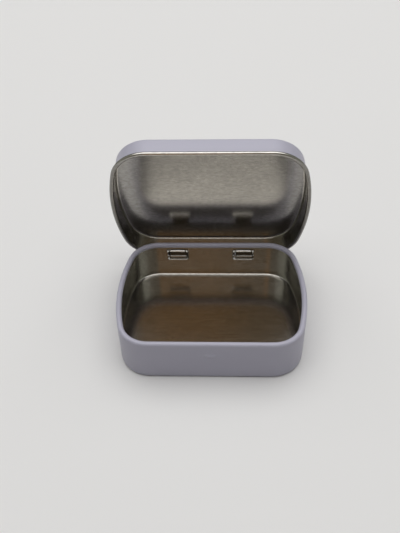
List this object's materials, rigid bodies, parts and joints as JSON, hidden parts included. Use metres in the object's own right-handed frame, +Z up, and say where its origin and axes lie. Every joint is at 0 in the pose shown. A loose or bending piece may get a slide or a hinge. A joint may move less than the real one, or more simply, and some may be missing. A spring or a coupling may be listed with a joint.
{
  "type": "hinged metal tin",
  "caption": "Small pressed tinplate case: a tray with a rolled rim and a shallow lid that swings on two curled tabs in the tray's back wall.",
  "frame": {"origin": "centre of the flat underside of the tray", "axes": "+X to the right along the long side, +Y from the front to the hinge side, +Z up; at rest the lid stands open by 76.5 degrees, as in the picture"},
  "size_m": [0.0602, 0.0528, 0.0532],
  "materials": {
    "white_enamel": "baked white enamel with a slight lilac cast, semi-matt, on the outside and over the rolled rim; bare inside",
    "bright_tinplate": "bare satin tinplate on the inside, the hem and the hinge tabs; the outside has the tray's white enamel"
  },
  "bodies": {
    "tray": {"tray": "white_enamel"},
    "lid": {"lid": "bright_tinplate"}
  },
  "joints": [
    {"name": "lid_hinge", "type": "hinge", "parent": "tray", "child": "lid", "pos_m": [0, 0.0221, 0.0076], "axis": [-1, 0, 0], "range_deg": [-76.5, 30]}
  ]
}
